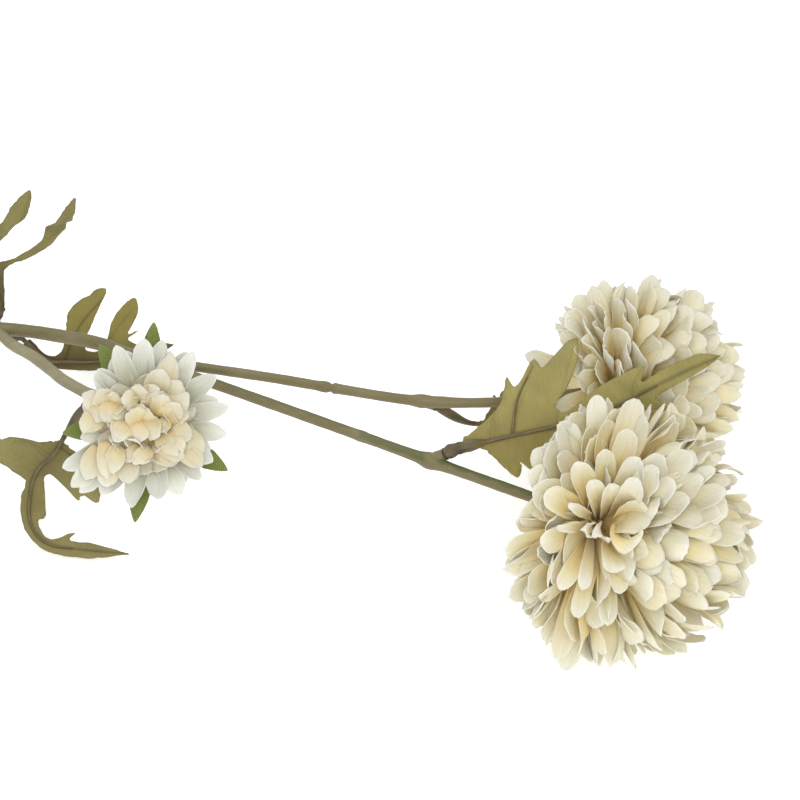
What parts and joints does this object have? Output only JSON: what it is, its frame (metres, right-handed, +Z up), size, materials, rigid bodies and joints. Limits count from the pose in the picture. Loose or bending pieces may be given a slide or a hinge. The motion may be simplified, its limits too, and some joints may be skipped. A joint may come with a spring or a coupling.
{
  "type": "artificial pompon chrysanthemum spray",
  "caption": "Cut spray of artificial pompon chrysanthemums: ball blooms, a half-open bloom and cut leaves on a branching moulded stem, lying down.",
  "frame": {"origin": "table level, under the middle of the spray's box", "axes": "+X along the spray from the cut stem end towards the ball blooms, +Z up, +Y away from the picture's camera"},
  "size_m": [0.6348, 0.2259, 0.0976],
  "materials": {
    "cream_fabric": "fine woven polyester, cream",
    "white_fabric": "fine woven polyester, white",
    "olive_leaf_fabric": "stiffened woven polyester, olive",
    "green_sepal_fabric": "stiffened woven polyester, bright green",
    "khaki_stem_plastic": "satin moulded plastic, khaki",
    "brown_stalk_plastic": "satin moulded plastic, dark brown"
  },
  "bodies": {
    "root": {"stem": "khaki_stem_plastic", "front_bloom": "cream_fabric", "front_bloom_calyx": "green_sepal_fabric", "back_bloom": "cream_fabric", "back_bloom_calyx": "green_sepal_fabric", "small_bloom_outer_petals": "white_fabric", "small_bloom_inner_petals": "cream_fabric", "small_bloom_calyx": "green_sepal_fabric", "front_leaf_blade": "olive_leaf_fabric", "front_leaf_stalk": "brown_stalk_plastic", "back_leaf_blade": "olive_leaf_fabric", "back_leaf_stalk": "brown_stalk_plastic", "top_leaf_blade": "olive_leaf_fabric", "top_leaf_stalk": "brown_stalk_plastic", "fork_leaf_blade": "olive_leaf_fabric", "fork_leaf_stalk": "brown_stalk_plastic", "low_leaf_blade": "olive_leaf_fabric", "low_leaf_stalk": "brown_stalk_plastic"}
  },
  "joints": []
}
